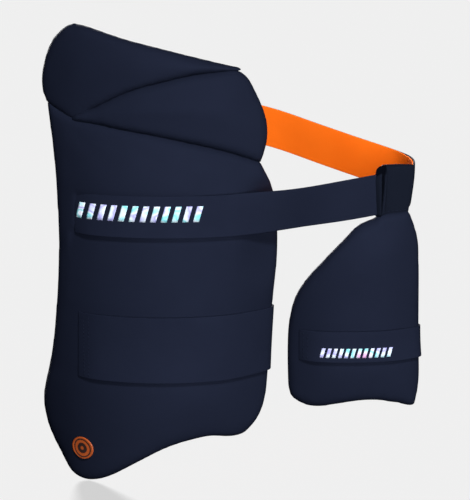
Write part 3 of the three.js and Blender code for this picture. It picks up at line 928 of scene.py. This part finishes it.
def hem_point(sheet, share, place, depth):
    """A point of the hem, by its share of the height, its place along the sleeve and its depth."""
    along, front = sleeve_axes()
    left = mix(HEM_LEFT, share)
    turn = min((place - left) / (mix(ROLL["right"], share) - left), 1)
    stand = mix(sheet["stands"], 1 - (1 - turn) ** HEM_BULGE) - depth
    short = 1 - min((place - left) / HEM_ARCH, 1)
    bottom, top = sheet["heights"]
    top += sheet["arch_rise"] * math.sqrt(1 - short * short)
    point = SLEEVE_START + along * place + front * stand
    return Vector((point.x, point.y, mix((bottom, top), share)))


def hem_sheet(work, sheet, material):
    """One curved sheet of the hem, with its thickness."""
    sides = []
    for depth in (0, HEM_WALL):
        rows = []
        for share in evenly(HEM_ROWS, 0, 1):
            places = evenly(HEM_COLUMNS, mix(HEM_LEFT, share), mix(sheet["right"], share))
            rows.append([work.verts.new(hem_point(sheet, share, place, depth)) for place in places])
        sides.append(rows)
    for face in closed_sheet(work, *sides):
        face.material_index = material


def sleeve_hem():
    """The sleeve's first edge, rolled into a hem, and a sheet for the sleeve's mouth inside it,
    near-black as painted shade.
    """
    work = bmesh.new()
    hem_sheet(work, ROLL, 0)
    # The second sheet is painted shade: near-black cloth where the sleeve's mouth lies in shadow
    hem_sheet(work, MOUTH_PAINTED_SHADE, 1)
    return made_piece("sleeve_hem", work, "cover", SLEEVE, SLEEVE_PAINTED_SHADE)


def sleeve_move(point):
    """How far the sleeve's front face moves along the sleeve at a place, and its first corner down."""
    along, front = sleeve_axes()
    offset = point - SLEEVE_START
    place = offset.dot(along)
    ahead = smooth_step(offset.dot(front), 0, SLEEVE_FRONT)
    upper = smooth_step(point.z, BELT_BOTTOM, BELT_TOP)
    reach = SLEEVE_REACH * smooth_step(place, SLEEVE_WIDTH / 2, SLEEVE_WIDTH) * upper
    panel = mix(PANEL_LEFT, upper) * (1 - smooth_step(place, 0, PANEL_PLACE))
    corner = 1 - smooth_step(place, 0, CORNER_PLACE)
    drop = CORNER_DROP * corner * max(point.z - CORNER_DROP_FROM, 0)
    return along * (reach + panel) * ahead - Vector((0, 0, drop))


def sleeve():
    """The sleeve round the belt, with its rolled hem."""
    piece = copied("hanger_loop", "hanger_loop_cloth")
    subdivide(piece, 3)
    apply_modifiers(piece)
    for vertex in piece.data.vertices:
        vertex.co = vertex.co + sleeve_move(vertex.co)
    piece.data.materials.append(SLEEVE)
    finish_piece(piece, "cover", "hanger_loop")
    hem = sleeve_hem()
    return piece


def badge():
    """The round badge, sunk a little into the cover and ringed by its colours."""
    piece = copied("round_badge", "round_badge_disc")
    low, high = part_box("round_badge")
    middle = (Vector(low) + Vector(high)) / 2
    subdivide(piece, 2)
    apply_modifiers(piece)
    mesh = piece.data
    marks = mesh.attributes.new("reach", "FLOAT", "POINT")
    for index, vertex in enumerate(mesh.vertices):
        marks.data[index].value = (vertex.co - middle).length / BADGE_RADIUS
        vertex.co = middle.lerp(vertex.co, BADGE_SHARE)
    mesh.materials.append(RUBBER)
    finish_piece(piece, "badge", "round_badge")


# Prints and stitches


def on_front(tree, x, z, lift):
    """The first place that a line from the front meets, lifted off the surface."""
    place, normal, _, _ = tree.ray_cast(Vector((x, FRONT, z)), Vector((0, 1, 0)))
    return place + normal * lift


def bars(name, row, carrier):
    """A row of equal slanted bars that follows the cloth under it."""
    tree = tree_of(carrier)
    pitch = (row["last"] - row["first"]) / row["count"]
    work = bmesh.new()
    for number in range(row["count"]):
        left = row["first"] + number * pitch
        sides = []
        for lift in (BAR_LIFT, -BAR_LIFT):
            rows = []
            for rise in evenly(BAR_ROWS, -row["height"] / 2, row["height"] / 2):
                start = left + BAR_SLANT * rise
                height = row["middle"] + rise
                places = evenly(BAR_ROWS, start, start + row["share"] * pitch)
                rows.append([work.verts.new(on_front(tree, x, height, lift)) for x in places])
            sides.append(rows)
        closed_sheet(work, *sides)
    made_piece(name, work, "elastic", FOIL)


def stitch(work, start, end):
    """One stitch: a short round thread that dips into the cloth at both ends."""
    along = (end - start).normalized()
    out = Vector((0, -1, 0))
    out = (out - along * out.dot(along)).normalized()
    side = along.cross(out)
    rings = []
    for section in STITCH_SECTIONS:
        middle = start.lerp(end, section["share"]) + out * section["rise"] * STITCH_RADIUS
        ring = []
        for corner in range(STITCH_SIDES):
            angle = 2 * math.pi * corner / STITCH_SIDES
            offset = (out * math.cos(angle) + side * math.sin(angle)) * STITCH_RADIUS * section["size"]
            ring.append(work.verts.new(middle + offset))
        rings.append(ring)
    for first, second in zip(rings, rings[1:]):
        for cell in strip_cells([*first, first[0]], [*second, second[0]]):
            work.faces.new(cell)
    work.faces.new(rings[0])
    work.faces.new(rings[-1])


def stitch_lines(name, carrier, lines):
    """Rows of stitches between pairs of places seen from the front."""
    tree = tree_of(carrier)
    work = bmesh.new()
    for (x0, z0), (x1, z1) in lines:
        length = math.hypot(x1 - x0, z1 - z0)
        count = max(int(length / STITCH_PITCH), 1)
        half = STITCH_LENGTH / 2 / length
        for number in range(count):
            middle = (number + 0.5) / count
            ends = []
            for share in (middle - half, middle + half):
                x = mix((x0, x1), share)
                z = mix((z0, z1), share)
                ends.append(on_front(tree, x, z, STITCH_RADIUS / 2))
            stitch(work, *ends)
    made_piece(name, work, "elastic", THREAD)


# The pieces of the guard

covers = {}
for node in OUTER_PADS:
    covers[node] = pad_cover(node, [other for other in OUTER_PADS if other != node], OUTER_BANDS)
covers["inner_thigh_pad"] = pad_cover("inner_thigh_pad", [], INNER_BANDS)
for form in FORMS.values():
    bpy.data.objects.remove(form)
swell_round_belt(covers["thigh_pad"].data)
raise_neck(covers["inner_thigh_pad"].data)

belt = band("waist_belt", ELASTIC, "elastic", belt_shape)
band("belt_lining", LINING, "lining", lining_shape)
thigh_strap = band(
    "thigh_strap", ELASTIC, "elastic", thigh_strap_shape
)
inner_strap = band(
    "inner_strap", ELASTIC, "elastic", inner_strap_shape
)
loop = sleeve()
badge()

stitch_lines("thigh_strap_stitches", thigh_strap, THIGH_STRAP_STITCHES)
stitch_lines("inner_strap_stitches", inner_strap, INNER_STRAP_STITCHES)
stitch_lines("sleeve_stitches", loop, SLEEVE_STITCHES)
bars("belt_bars", BELT_BARS, belt)
bars("inner_strap_bars", STRAP_BARS, inner_strap)


# Floor, light and camera


def aim(thing, at, target):
    thing.location = at
    thing.rotation_euler = (Vector(target) - Vector(at)).to_track_quat("-Z", "Y").to_euler()


def collection_of(name, things):
    collection = bpy.data.collections.new(name)
    for thing in things:
        collection.objects.link(thing)
    return collection


def add_floor():
    """A wide pale floor that shines no light back on the object."""
    mesh = bpy.data.meshes.new("floor")
    corners = [(-1, -1), (1, -1), (1, 1), (-1, 1)]
    points = [(x * FLOOR_REACH, y * FLOOR_REACH, FLOOR_HEIGHT) for x, y in corners]
    mesh.from_pydata(points, [], [(0, 1, 2, 3)])
    mesh.materials.append(floor_paint())
    floor = add_object("floor", mesh)
    floor.visible_diffuse = False
    floor.visible_glossy = False
    floor.visible_shadow = False
    floor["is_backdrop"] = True
    return floor


def add_light(name, kind, energy, receivers):
    """A light that shines on the pieces in one collection."""
    data = bpy.data.lights.new(name, kind)
    data.energy = energy
    lamp = add_object(name, data)
    lamp.light_linking.receiver_collection = receivers
    return lamp


def add_box(row, receivers):
    """A soft box: a lit rectangle."""
    lamp = add_light(row["name"], "AREA", row["watts"], receivers)
    lamp.data.shape = "RECTANGLE"
    lamp.data.size, lamp.data.size_y = row["size"]
    aim(lamp, row["at"], row["aim"])


def add_distant(name, row, receivers):
    """A distant light that comes from a bearing, counted from the front, and a height in degrees."""
    lamp = add_light(name, "SUN", row["strength"], receivers)
    lamp.data.angle = math.radians(row["spread"])
    bearing = math.radians(row["azimuth"])
    rise = math.radians(row["elevation"])
    level = Vector((math.sin(bearing), -math.cos(bearing), 0)) * math.cos(rise)
    aim(lamp, level + Vector((0, 0, math.sin(rise))), (0, 0, 0))
    return lamp


def add_world():
    """A pale surround that is seen, and lights nothing."""
    world = bpy.data.worlds.new("studio")
    world.use_nodes = True
    world.node_tree.nodes["Background"].inputs["Color"].default_value = (*WORLD_COLOUR, 1)
    world.cycles_visibility.diffuse = False
    world.cycles_visibility.glossy = False
    scene.world = world


def add_camera():
    data = bpy.data.cameras.new("camera")
    data.sensor_width = SENSOR
    data.lens = CAMERA_LENS
    camera = add_object("camera", data)
    tilt = math.radians(CAMERA_ELEVATION)
    away = Vector((0, -math.cos(tilt), math.sin(tilt))) * CAMERA_DISTANCE
    aim(camera, CAMERA_TARGET + away, CAMERA_TARGET)
    scene.camera = camera


on_floor = collection_of("on_floor", [add_floor()])
on_object = collection_of("on_object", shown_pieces())
for row in BOXES:
    add_box(row, on_object)
key = add_distant("key", KEY, on_object)
key.visible_glossy = False
add_distant("floor_light", FLOOR_LIGHT, on_floor)
add_world()
add_camera()
scene.view_settings.view_transform = "Standard"
